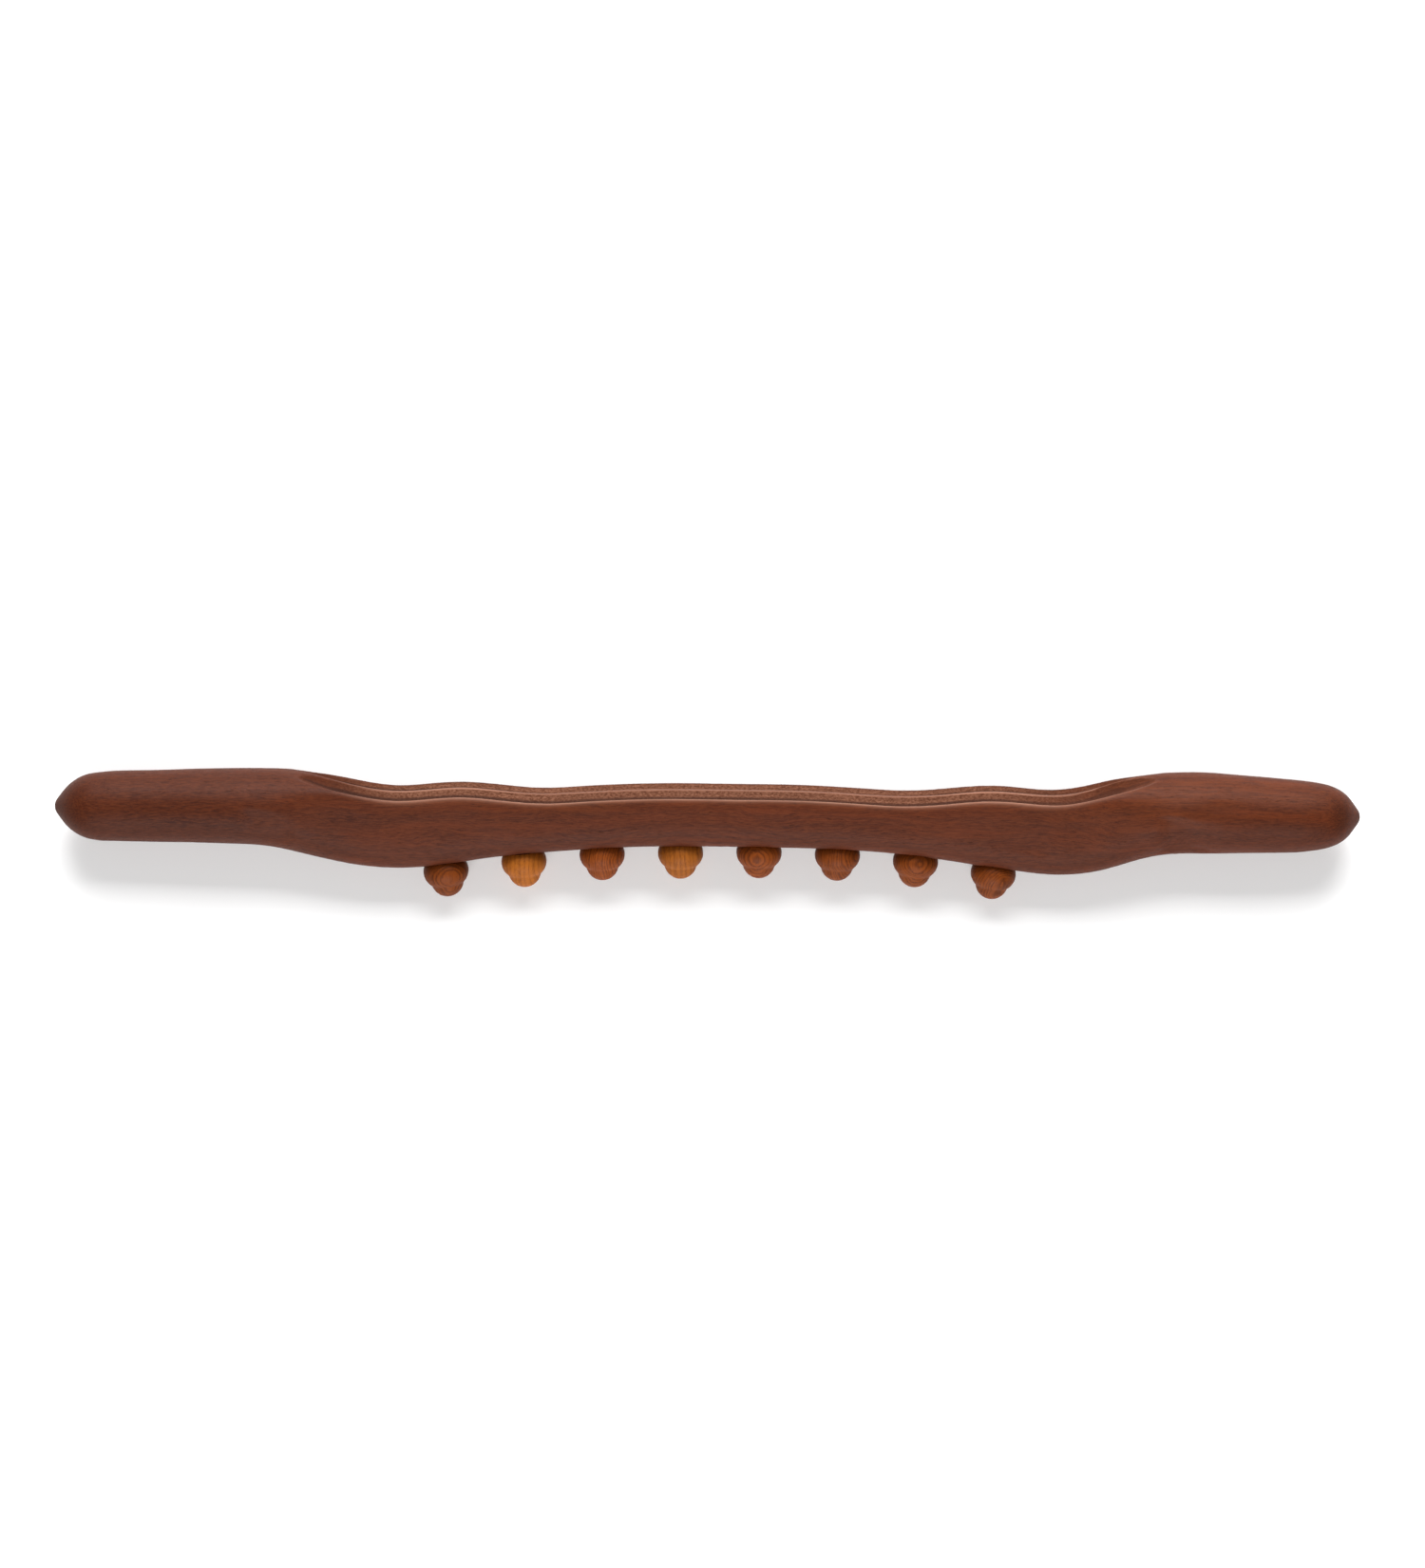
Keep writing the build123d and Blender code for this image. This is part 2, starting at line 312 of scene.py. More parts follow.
def stick_wood():
    """Dark heat-treated wood, sanded and oiled; paler, dry and fuzzy in the milled grooves.

    The bar's mesh says where the wood is milled, where its edges carry sanding wear and a painted
    highlight, and where the groove bottoms get painted shade."""
    material, w, shader = new_material("dark_treated_wood")
    place = w.node("ShaderNodeTexCoord").outputs["Object"]
    fibre = w.stretched(place, (1000.0, 1000.0, 1000.0))
    grain = use(w, FIBRES, Fibre=fibre, Wander=1.0)
    pores = use(w, PORES, Fibre=fibre, Length=3.0, Width=0.28, Amount=0.6)
    mottle = use(w, MOTTLE, Place=fibre, Size=45.0)
    milled = w.node("ShaderNodeAttribute", {"attribute_name": "milled"}).outputs["Fac"]
    worn_and_lit = w.node("ShaderNodeAttribute", {"attribute_name": "worn_and_lit"}).outputs["Fac"]
    hollow_shade = w.node("ShaderNodeAttribute", {"attribute_name": "hollow_shade"}).outputs["Fac"]

    body = w.mix(grain.outputs["Bands"], rgb(0.0550, 0.0098, 0.0022), rgb(0.0894, 0.0164, 0.0038))
    for middle, reach, share, tone in STICK_TONES:
        patch = use(w, PATCH, Place=fibre, Middle=middle, Reach=reach)
        body = w.mix(w.sum("MULTIPLY", patch.outputs["Mask"], share), body, rgb(*tone))
    body = w.mix(w.sum("MULTIPLY", mottle.outputs["Cloud"], 0.30), body, rgb(0.1084, 0.0213, 0.0048))
    body = w.mix(w.sum("MULTIPLY", grain.outputs["Streaks"], 0.70), body, rgb(0.0344, 0.0064, 0.0021))
    body = w.mix(w.sum("MULTIPLY", grain.outputs["Hairs"], 0.42), body, rgb(0.1376, 0.0328, 0.0096))
    body = w.mix(w.sum("MULTIPLY", pores.outputs["Pores"], 0.55), body, rgb(0.0155, 0.0041, 0.0016))

    along = w.node("ShaderNodeSeparateXYZ", Vector=fibre).outputs["X"]
    left_end = w.between(along, -160.0, -118.0)
    freshness = w.sum("MULTIPLY", left_end, w.between(along, 100.0, 172.0, 1.0, 0.12))
    wear_and_highlight_fade = w.sum("MULTIPLY", left_end, w.between(along, 120.0, 190.0, 1.0, 0.15))
    rubbed_and_lit = w.sum("MULTIPLY", worn_and_lit, wear_and_highlight_fade)
    fuzz = w.noise(w.stretched(fibre, (0.9, 1.6, 1.6)), 1.0, 3.0, 0.7)
    raw = w.mix(w.between(fuzz, 0.35, 0.65), rgb(0.0757, 0.0238, 0.0104), rgb(0.2021, 0.0853, 0.0496))
    raw = w.mix(w.sum("MULTIPLY", grain.outputs["Streaks"], 0.35), raw, rgb(0.0602, 0.0180, 0.0080))
    raw = w.mix(freshness, w.mix(0.45, body, rgb(0.0500, 0.0135, 0.0056)), raw)
    # painted shade: the deep groove bottoms are darkened, the lower groove more, less so towards the right
    # end
    painted_groove_shade = w.sum("MULTIPLY", w.between(hollow_shade, GROOVE_SHADE_FROM, GROOVE_SHADE_FULL, 0.0, 0.80),
                 w.between(along, 100.0, 160.0, 1.0, 0.6))
    raw = w.mix(painted_groove_shade, raw, rgb(0.0189, 0.0049, 0.0024))
    colour = w.mix(w.sum("MULTIPLY", milled, 0.94), body, raw)
    # painted highlight together with sanding wear: the ridge and the upper lip are paled, fading towards
    # the right end
    colour = w.mix(w.sum("MULTIPLY", rubbed_and_lit, 0.88), colour, rgb(0.330, 0.158, 0.102))

    polish = w.between(mottle.outputs["Speckle"], 0.3, 0.7, 0.50, 0.60)
    polish = w.sum("ADD", polish, w.sum("MULTIPLY", pores.outputs["Pores"], 0.2))
    roughness = w.sum("ADD", polish, w.sum("MULTIPLY", milled, 0.36), clamp=True)
    relief = w.sum("ADD", w.sum("MULTIPLY", grain.outputs["Hairs"], 0.25),
                   w.sum("MULTIPLY", pores.outputs["Pores"], -1.0))
    relief = w.sum("ADD", relief, w.sum("MULTIPLY", w.sum("MULTIPLY", fuzz, milled), 6.0))
    bump = w.node("ShaderNodeBump", Height=relief, Distance=0.00008, Strength=0.5)
    w.feed(shader.inputs["Base Color"], colour)
    w.feed(shader.inputs["Roughness"], roughness)
    w.feed(shader.inputs["Normal"], bump.outputs["Normal"])
    shader.inputs["IOR"].default_value = 1.46
    shader.inputs["Specular IOR Level"].default_value = 0.14
    shader.inputs["Sheen Weight"].default_value = 0.02
    shader.inputs["Sheen Roughness"].default_value = 0.45
    return material


def bead_wood(name, pale, dark, spacing, contrast):
    """Turned and waxed bead wood. Its fibre coordinates come with each bead's mesh."""
    material, w, shader = new_material(name)
    fibre = w.node("ShaderNodeAttribute", {"attribute_name": "fibre"}).outputs["Vector"]
    grain = use(w, FIBRES, Fibre=fibre, Wander=0.35)
    pores = use(w, PORES, Fibre=fibre, Length=1.4, Width=0.16, Amount=0.5)
    rings = use(w, RINGS, Fibre=fibre, Spacing=spacing, Wobble=0.35)
    mottle = use(w, MOTTLE, Place=fibre, Size=9.0)
    colour = w.mix(w.sum("MULTIPLY", mottle.outputs["Cloud"], 0.5), rgb(*pale), rgb(*dark))
    colour = w.mix(w.sum("MULTIPLY", rings.outputs["Rings"], contrast), colour, shade(dark, 0.42))
    colour = w.mix(w.sum("MULTIPLY", grain.outputs["Streaks"], 0.30), colour, shade(dark, 0.62))
    colour = w.mix(w.sum("MULTIPLY", grain.outputs["Hairs"], 0.38), colour, shade(pale, 1.35))
    colour = w.mix(w.sum("MULTIPLY", pores.outputs["Pores"], 0.5), colour, shade(dark, 0.25))
    tone = w.node("ShaderNodeAttribute", {"attribute_name": "tone"}).outputs["Fac"]
    colour = w.scaled(colour, tone)
    roughness = w.between(mottle.outputs["Speckle"], 0.3, 0.7, 0.46, 0.58)
    relief = w.sum("SUBTRACT", w.sum("MULTIPLY", rings.outputs["Rings"], 0.4), pores.outputs["Pores"])
    bump = w.node("ShaderNodeBump", Height=relief, Distance=0.00006, Strength=0.4)
    w.feed(shader.inputs["Base Color"], colour)
    w.feed(shader.inputs["Roughness"], roughness)
    w.feed(shader.inputs["Normal"], bump.outputs["Normal"])
    shader.inputs["IOR"].default_value = 1.5
    shader.inputs["Specular IOR Level"].default_value = 0.12
    return material


STICK_WOOD = stick_wood()
RUSSET_WOOD = bead_wood("russet_bead_wood", pale=(0.180, 0.040, 0.0050), dark=(0.118, 0.0235, 0.0030),
                        spacing=1.0, contrast=0.90)
AMBER_WOOD = bead_wood("amber_bead_wood", pale=(0.345, 0.102, 0.0115), dark=(0.235, 0.062, 0.0070),
                       spacing=1.9, contrast=0.52)


# ---- meshes ----
def mesh_object(name, points, faces, smooth_angle=None):
    mesh = bpy.data.meshes.new(name)
    mesh.from_pydata([tuple(p) for p in points], [], faces)
    mesh.validate()
    mesh.shade_smooth()
    if smooth_angle is not None:
        mesh.set_sharp_from_angle(angle=smooth_angle)
    made = bpy.data.objects.new(name, mesh)
    bpy.context.scene.collection.objects.link(made)
    return made


def ring_faces(rings, around):
    """Quads between closed rings of points, and a fan at each end onto the two last points."""
    faces = []
    for ring in range(rings - 1):
        for k in range(around):
            a, b = ring * around + k, ring * around + (k + 1) % around
            faces.append((a, b, b + around, a + around))
    first, last = rings * around, rings * around + 1
    for k in range(around):
        following = (k + 1) % around
        faces.append((first, following, k))
        faces.append((last, (rings - 1) * around + k, (rings - 1) * around + following))
    return faces


def set_values(made, name, values):
    attribute = made.data.attributes.new(name, "FLOAT", "POINT")
    attribute.data.foreach_set("value", np.asarray(values, np.float32))


def bell(sigma_in_steps):
    """Weights of a smoothing window, and how many steps it reaches to each side."""
    half = max(1, int(3 * sigma_in_steps))
    weights = np.exp(-0.5 * (np.arange(-half, half + 1) / sigma_in_steps) ** 2)
    return weights / weights.sum(), half


def smooth_step(values, low, high):
    t = np.clip((values - low) / (high - low), 0, 1)
    return t * t * (3 - 2 * t)


# ---- the beads: lathe profiles about the axis of each packed bead ----
BALL_RADIUS = 6.65 * MM
BALL_BELOW_SEAT = 8.8 * MM
SHOULDER_ABOVE_BALL = 4.05 * MM
SHOULDER_ROUND = 6.6 * MM
SHOULDER_RING = 2.6 * MM
TENON_RADIUS = 4.0 * MM
TENON_LENGTH = 11.5 * MM
TENON_CHAMFER = 0.8 * MM
BEAD_AROUND = 112
PROFILE_STEPS = (120, 100)                # along the shoulder and the ball, before thinning
PROFILE_THINNING = 3                      # only every third step becomes a ring
WAIST_SANDING = 5.5                       # in profile steps
WAIST_SANDED = (0.9 * MM, 2.2 * MM)       # fully up to the first distance, not past the second
BEAD_EDGE = radians(40)                   # sharper than this stays a sharp edge


def bead_frame(name):
    """Seat point and axis of a packed bead: the axis of revolution of its skin, tenon to nose."""
    points, triangles = node_mesh(name)
    corners = points[triangles]
    middles = corners.mean(axis=1)
    sides = corners[:, 1:] - corners[:, :1]
    areas = np.linalg.norm(np.cross(sides[:, 0], sides[:, 1]), axis=1)
    centre = (middles * areas[:, None]).sum(axis=0) / areas.sum()
    spread = (middles - centre) * np.sqrt(areas)[:, None]
    axis = np.linalg.eigh(spread.T @ spread)[1][:, 2]
    if axis @ BACK > 0:
        axis = -axis
    seat = centre + axis * (((points - centre) @ axis).min() + TENON_LENGTH)
    return seat, axis


def bead_profile():
    """(distance from the seat towards the nose, radius) from the tenon's end to the nose."""
    shoulder_z = BALL_BELOW_SEAT - SHOULDER_ABOVE_BALL
    seat_angle = -acos(-shoulder_z / SHOULDER_ROUND)
    gap = (SHOULDER_RING, -SHOULDER_ABOVE_BALL)
    apart = sqrt(gap[0] ** 2 + gap[1] ** 2)
    along = (apart ** 2 + BALL_RADIUS ** 2 - SHOULDER_ROUND ** 2) / (2 * apart)
    reach = sqrt(BALL_RADIUS ** 2 - along ** 2)
    waist_r = (gap[0] * along - gap[1] * reach) / apart
    waist_z = (gap[1] * along + gap[0] * reach) / apart
    waist_ball = acos(waist_z / BALL_RADIUS)
    waist_shoulder = acos((waist_z + SHOULDER_ABOVE_BALL) / SHOULDER_ROUND)
    flat = TENON_RADIUS - TENON_CHAMFER
    profile = [(-TENON_LENGTH, flat * share) for share in (0.5, 1.0)]
    profile += [(-TENON_LENGTH + TENON_CHAMFER, TENON_RADIUS), (-TENON_LENGTH / 2, TENON_RADIUS),
                (0.0, TENON_RADIUS)]
    seat_r = SHOULDER_RING + SHOULDER_ROUND * sin(-seat_angle)
    profile += [(0.0, (TENON_RADIUS + seat_r) / 2)]
    skin = []
    for share in np.linspace(0, 1, PROFILE_STEPS[0]):
        angle = -seat_angle + (waist_shoulder + seat_angle) * share
        skin.append((shoulder_z + SHOULDER_ROUND * cos(angle),
                     SHOULDER_RING + SHOULDER_ROUND * sin(angle)))
    for share in np.linspace(0, 1, PROFILE_STEPS[1])[1:-1]:
        angle = waist_ball * (1 - share)
        skin.append((BALL_BELOW_SEAT + BALL_RADIUS * cos(angle), BALL_RADIUS * sin(angle)))
    skin = np.array(skin)
    waist = np.linalg.norm(skin - (BALL_BELOW_SEAT + waist_z, waist_r), axis=1)
    weights, half = bell(WAIST_SANDING)
    padded = np.concatenate([np.repeat(skin[:1], half, 0), skin, np.repeat(skin[-1:], half, 0)])
    sanded = np.array([np.convolve(column, weights, "valid") for column in padded.T]).T
    share = (1 - smooth_step(waist, *WAIST_SANDED))[:, None]
    skin = skin * (1 - share) + sanded * share
    return profile + [tuple(point) for point in skin[::PROFILE_THINNING]]


def lathe(seat, axis, profile, ends, around):
    """Rings of points about an axis, the two end points after them, and two directions across."""
    across = np.cross(axis, [1.0, 0.0, 0.0])
    across /= np.linalg.norm(across)
    beside = np.cross(across, axis)
    turn = np.linspace(0, 2 * pi, around, endpoint=False)
    out = np.outer(np.cos(turn), beside) + np.outer(np.sin(turn), across)
    rings = [seat + axis * z + out * r for z, r in profile]
    return np.vstack(rings + [[seat + axis * end for end in ends]]), beside, across


def bead(name):
    seat, axis = bead_frame(name)
    profile = bead_profile()
    ends = (-TENON_LENGTH, BALL_BELOW_SEAT + BALL_RADIUS)
    points, beside, across = lathe(seat, axis, profile, ends, BEAD_AROUND)
    made = mesh_object(f"turned_{name}", points, ring_faces(len(profile), BEAD_AROUND), BEAD_EDGE)
    return made, seat, axis, beside, across, points


# ---- the bar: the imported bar's skin, sampled finely and finished like sanded wood ----
STEP_ALONG = 0.9 * MM
TIP_BLEND = 7.0 * MM                      # near the tips the rings close up instead
TIP_RINGS = 26
SAMPLES_AROUND = 480                      # every 0.75 degrees
BACK_HALF_ANGLE = radians(57)             # grooves and lips lie inside this
BACK_BLEND = radians(7)
EVERY_ON_BACK, EVERY_ELSEWHERE = 2, 5     # samples around that become points of the mesh
RAY_START = 40 * MM

SEAT_CLEARANCE = 9.3 * MM                 # skin nearer than this to a bead's axis is the socket's
SOCKET_REACH = 15 * MM
SOCKET_SEAT_RADIUS = 8.8 * MM
SOCKET_BORE_RADIUS = 4.05 * MM
SOCKET_BORE_DEPTH = 12.0 * MM
SOCKET_CUT_LENGTH = 14.0 * MM
SOCKET_AROUND = 96
SOCKET_EDGE = radians(50)

GROOVE_DEPTH = 2.3 * MM
GROOVED_HALF_WIDTH = 12.4 * MM            # lip to middle
GROOVE_FADE = 0.5 * MM
MILLED = (0.14 * MM, 0.32 * MM)           # depth at which the wood starts and ends being milled
LIP_FROM = 8.6 * MM                       # from the middle: further out is the lip, nearer the ridge
LIP_BLEND = 2 * MM

RIDGE_SOFTENING = radians(0.9)            # how far sanding has rounded the ridge, and the lips
LIP_SOFTENING = radians(1.7)
SKIN_SOFTENING = radians(4.5)
ALONG_SOFTENING = 2.1 * MM
DEPTH_SOFTENING = 1.2 * MM
CALM_TIPS = (0.240, 0.258)                # the hand-sanded unevenness fades out here

RIDGE_WEAR_AND_HIGHLIGHT = radians(2.6)                 # how far sanding wear and a painted highlight pale the ridge, and the lips
LIP_WEAR_AND_HIGHLIGHT = radians(3.6)
WEAR_AND_HIGHLIGHT_GAIN = 2.2
WEAR_AND_HIGHLIGHT_BEYOND = (-3 * MM, -1 * MM)          # only the ridge and the lip on the upper flank get the wear and painted highlight
FAR_GROOVE_SHADE = 0.25                    # extra share of painted shade in the lower groove
FAR_GROOVE_FROM = -4 * MM
SHALLOWEST_SHADED = 0.25                   # share of the full depth
BOTTOM_LINE = (0.88, 1.0)                 # painted shade also follows the bottom of the shallow run-outs
BOTTOM_LINE_SHADE = 0.12


def stations():
    """Places along the bar: even steps, then ever closer towards each pointed tip."""
    half = RIGHT_TIP[0]
    inner = half - TIP_BLEND
    count = int(round(2 * inner / STEP_ALONG))
    even = np.linspace(-inner, inner, count + 1)
    share = np.arange(1, TIP_RINGS) / TIP_RINGS
    tip = inner + TIP_BLEND * np.sin(share * pi / 2)
    return np.concatenate([-tip[::-1], even, tip])


def bead_axes():
    return [bead_frame(name) for name in BEADS]


def in_socket(points, beads):
    """Which points of the skin lie in or over a bead's socket."""
    hidden = np.zeros(len(points), bool)
    for seat, axis in beads:
        rel = points - seat
        reach = rel @ axis
        aside = np.linalg.norm(rel - np.outer(reach, axis), axis=1)
        hidden |= (aside < SEAT_CLEARANCE) & (rel @ BACK < SOCKET_REACH)
    return hidden


def bridge_gaps(places, values, hidden):
    """Fills hidden stretches with a smooth curve that meets both ends in value and slope."""
    filled = values.copy()
    index = 0
    while index < len(values):
        if not hidden[index]:
            index += 1
            continue
        first = index
        while index < len(values) and hidden[index]:
            index += 1
        a, b = first - 1, index
        reach = 3
        slope_a = (values[a] - values[a - reach]) / (places[a] - places[a - reach])
        slope_b = (values[b + reach] - values[b]) / (places[b + reach] - places[b])
        span = places[b] - places[a]
        t = (places[first:b] - places[a]) / span
        filled[first:b] = ((2 * t ** 3 - 3 * t ** 2 + 1) * values[a]
                           + (t ** 3 - 2 * t ** 2 + t) * span * slope_a
                           + (-2 * t ** 3 + 3 * t ** 2) * values[b] + (t ** 3 - t ** 2) * span * slope_b)
    return filled


def soften_around(radii, sigma):
    weights, half = bell(sigma / (2 * pi / radii.shape[1]))
    wrapped = np.concatenate([radii[:, -half:], radii, radii[:, :half]], axis=1)
    return np.array([np.convolve(row, weights, "valid") for row in wrapped])


def soften_along(values, sigma):
    weights, half = bell(sigma / STEP_ALONG)
    padded = np.concatenate([np.repeat(values[:1], half, 0), values, np.repeat(values[-1:], half, 0)])
    return np.array([np.convolve(column, weights, "valid") for column in padded.T]).T


HILL_WAVES, HILL_SHARE = 14, 5.0


def soft_hills(along, around, pitch_along, lobes, seed):
    """Slow uneven rise and fall of a hand-sanded skin, mostly between -1 and 1."""
    chance = np.random.default_rng(seed)
    total = np.zeros((len(along), len(around)))
    for _ in range(HILL_WAVES):
        wave = chance.uniform(0.6, 1.6) * 2 * pi / pitch_along
        turns = chance.integers(1, lobes + 1)
        total += np.outer(np.sin(along * wave + chance.uniform(0, 2 * pi)),
                          np.cos(around * turns + chance.uniform(0, 2 * pi)))
    return total / HILL_SHARE


def from_back(angles):
    """Angle between each sample and the middle of the back."""
    return np.abs((angles - pi / 2 + pi) % (2 * pi) - pi)


def uncut_radius(angles, radii):
    """The section as it was before the grooves were milled: its convex outline across the back."""
    back = np.where(from_back(angles) < BACK_HALF_ANGLE)[0]
    across, up = radii[back] * np.cos(angles[back]), radii[back] * np.sin(angles[back])
    order = np.argsort(across)
    hull = []
    for k in order:
        while len(hull) > 1:
            o, m = hull[-2], hull[-1]
            turn = (across[m] - across[o]) * (up[k] - up[o]) - (up[m] - up[o]) * (across[k] - across[o])
            if turn < 0:
                break
            hull.pop()
        hull.append(k)
    level = np.interp(across, across[hull], up[hull])
    whole = radii.copy()
    whole[back] = radii[back] + (level - up) * np.sin(angles[back])
    return whole


def sample_skin(places, beads):
    """Distance of the bar's skin from its middle line, for every station and angle."""
    tree = BVHTree.FromPolygons([tuple(p) for p in STICK_POINTS], [tuple(t) for t in STICK_TRIANGLES])
    inner = RIGHT_TIP[0] - TIP_BLEND

    def hit(origin, direction):
        found = tree.ray_cast(Vector(origin), Vector(direction))[0]
        return np.array(found) if found is not None else origin + direction * RAY_START

    line = [np.array([x, AXIS_POINT[1], AXIS_POINT[2]]) for x in places]
    top = np.array([(hit(p + BACK * RAY_START, -BACK) - p) @ BACK for p in line])
    below = np.array([hit(p - BACK * RAY_START, BACK) for p in line])
    bottom = bridge_gaps(places, (below - np.array(line)) @ BACK, in_socket(below, beads))
    middle = (top + bottom) / 2
    towards_tip = np.interp(places, places[TIP_RINGS:-TIP_RINGS], middle[TIP_RINGS:-TIP_RINGS])
    towards_tip *= 1 - smooth_step(np.abs(places), inner, RIGHT_TIP[0])
    middle = np.where(np.abs(places) < inner, middle, towards_tip)
    angles = np.arange(SAMPLES_AROUND) * 2 * pi / SAMPLES_AROUND
    directions = np.outer(np.cos(angles), FLANK) + np.outer(np.sin(angles), BACK)
    skin = np.zeros((len(places), SAMPLES_AROUND, 3))
    for row, point in enumerate(line):
        centre = point + BACK * middle[row]
        for column, direction in enumerate(directions):
            skin[row, column] = hit(centre + direction * RAY_START, -direction)
    centres = np.array(line) + np.outer(middle, BACK)
    radii = np.einsum("ijk,jk->ij", skin - centres[:, None], directions)
    for column in range(SAMPLES_AROUND):
        hidden = in_socket(skin[:, column], beads)
        if hidden.any():
            radii[:, column] = bridge_gaps(places, radii[:, column], hidden)
    return centres, angles, radii


def columns_around(angles):
    """Angles kept for the mesh: every second sample across the back, every fifth elsewhere."""
    index = np.arange(len(angles))
    every = np.where(from_back(angles) < BACK_HALF_ANGLE, EVERY_ON_BACK, EVERY_ELSEWHERE)
    return index[index % every == 0]


def finished_skin(places, angles, radii):
    """Sanded skin: facets of the sampling gone, edges softened, slight hand-made unevenness."""
    in_back = 1 - smooth_step(from_back(angles), BACK_HALF_ANGLE - BACK_BLEND, BACK_HALF_ANGLE)
    inner = slice(TIP_RINGS - 1, len(places) - TIP_RINGS + 1)
    whole = np.array([uncut_radius(angles, row) for row in radii])
    across = np.abs(radii * np.cos(angles))
    depth = whole - radii
    depth *= 1 - smooth_step(across, GROOVED_HALF_WIDTH, GROOVED_HALF_WIDTH + GROOVE_FADE)
    finished = radii.copy()
    at_lip = smooth_step(across, LIP_FROM, LIP_FROM + LIP_BLEND)

    def soften_edges(values):
        return (soften_around(values, RIDGE_SOFTENING) * (1 - at_lip)
                + soften_around(values, LIP_SOFTENING) * at_lip)

    edge = soften_edges(radii)
    skin = soften_around(whole, SKIN_SOFTENING)
    mixed = edge * in_back + skin * (1 - in_back)
    settled = soften_along(mixed[inner], ALONG_SOFTENING)
    keep = smooth_step(np.abs(places[inner]), RIGHT_TIP[0] - 3 * TIP_BLEND,
                       RIGHT_TIP[0] - 1.2 * TIP_BLEND)[:, None]
    finished[inner] = radii[inner] * keep + settled * (1 - keep)
    depth[inner] = soften_along(soften_around(depth, RIDGE_SOFTENING)[inner], DEPTH_SOFTENING)
    calm = 1 - smooth_step(np.abs(places), *CALM_TIPS)[:, None]
    hills = soft_hills(places, angles, pitch_along=34 * MM, lobes=6, seed=11) * 0.07 * MM
    finished += hills * calm * (1 - smooth_step(depth, 0.05 * MM, 0.3 * MM))
    chatter = soft_hills(places, angles, pitch_along=4.2 * MM, lobes=3, seed=29) * 0.035 * MM
    finished += chatter * smooth_step(depth, 0.4 * MM, 1.0 * MM)
    return finished, depth


# Flats left by the carver's knife: place along the bar in mm, angle from the upper flank
# towards the back in degrees, depth in mm, lean along the bar in degrees
FACETS = [(-212, 12, 0.07, 0.6), (-190, -22, 0.09, 2.0), (-196, 48, 0.07, -1.0), (-168, -8, 0.08, -3.0),
          (-128, -52, 0.08, 0.8), (-112, -20, 0.06, -0.8), (134, -40, 0.08, -0.8), (118, -12, 0.06, 0.8),
          (186, -12, 0.08, 2.0), (184, -40, 0.10, 5.0), (204, -26, 0.08, -1.5), (222, 20, 0.06, -1.0),
          (-200, 168, 0.08, 1.0), (-140, 205, 0.08, -1.0), (150, 190, 0.08, 1.0), (212, 172, 0.08, -1.0)]
FACET_SOFTENING = 0.035 * MM
FACET_REACH, FACET_FULL = 24 * MM, 16 * MM
FACET_FACING = 0.75                       # the knife leaves skin that turns away more than this
SLOPE_ROWS, SLOPE_COLUMNS = 5, 6          # steps over which the skin's slope is taken
SOFT_LIMIT = 30


def knife_facets(places, angles, centres, radii):
    """Shaves the skin with planes set slightly into it, with just-softened edges."""
    directions = np.outer(np.cos(angles), FLANK) + np.outer(np.sin(angles), BACK)
    for along, angle, depth, lean in FACETS:
        row = int(np.abs(places - along * MM).argmin())
        column = int(round(angle / 360 * len(angles))) % len(angles)
        side_column = (column + SLOPE_COLUMNS) % len(angles)
        here = centres[row] + directions[column] * radii[row, column]
        ahead = centres[row + SLOPE_ROWS] + directions[column] * radii[row + SLOPE_ROWS, column]
        beside = centres[row] + directions[side_column] * radii[row, side_column]
        normal = np.cross(ahead - here, beside - here)
        normal *= np.sign(normal @ directions[column]) / np.linalg.norm(normal)
        normal = normal * cos(radians(lean)) + np.array([1.0, 0, 0]) * sin(radians(lean))
        rows = np.where(np.abs(places - along * MM) < FACET_REACH)[0]
        columns = np.where(directions @ normal > FACET_FACING)[0]
        height = (here - normal * depth * MM - centres[rows]) @ normal
        level = height[:, None] / (directions[columns] @ normal)[None]
        patch = radii[np.ix_(rows, columns)]
        gap = np.clip((patch - level) / FACET_SOFTENING, -SOFT_LIMIT, SOFT_LIMIT)
        fade = smooth_step(np.abs(places[rows] - along * MM), FACET_REACH, FACET_FULL)[:, None]
        taken = np.log1p(np.exp(gap)) - np.log1p(np.exp(-SOFT_LIMIT))
        shaved = patch - FACET_SOFTENING * taken
        radii[np.ix_(rows, columns)] = patch * (1 - fade) + shaved * fade
    return radii


def socket_cutter(seat, axis):
    profile = [(-SOCKET_BORE_DEPTH, SOCKET_BORE_RADIUS), (0.0, SOCKET_BORE_RADIUS),
               (0.0, SOCKET_SEAT_RADIUS), (SOCKET_CUT_LENGTH, SOCKET_SEAT_RADIUS)]
    points, _, _ = lathe(seat, axis, profile, (-SOCKET_BORE_DEPTH, SOCKET_CUT_LENGTH), SOCKET_AROUND)
    return mesh_object("socket_cutter", points, ring_faces(len(profile), SOCKET_AROUND))


def cut_sockets(bar, beads):
    """Bores the tenon holes and mills the bead seats, keeping the values stored on the mesh."""
    cutters = [socket_cutter(seat, axis) for seat, axis in beads]
    for cutter in cutters:
        step = bar.modifiers.new("socket", "BOOLEAN")
        step.operation, step.solver, step.object = "DIFFERENCE", "EXACT", cutter
    ready = bar.evaluated_get(bpy.context.evaluated_depsgraph_get())
    cut = bpy.data.meshes.new_from_object(ready)
    bar.modifiers.clear()
    bar.data = cut
    for cutter in cutters:
        bpy.data.objects.remove(cutter)
    cut.shade_smooth()
    cut.set_sharp_from_angle(angle=SOCKET_EDGE)


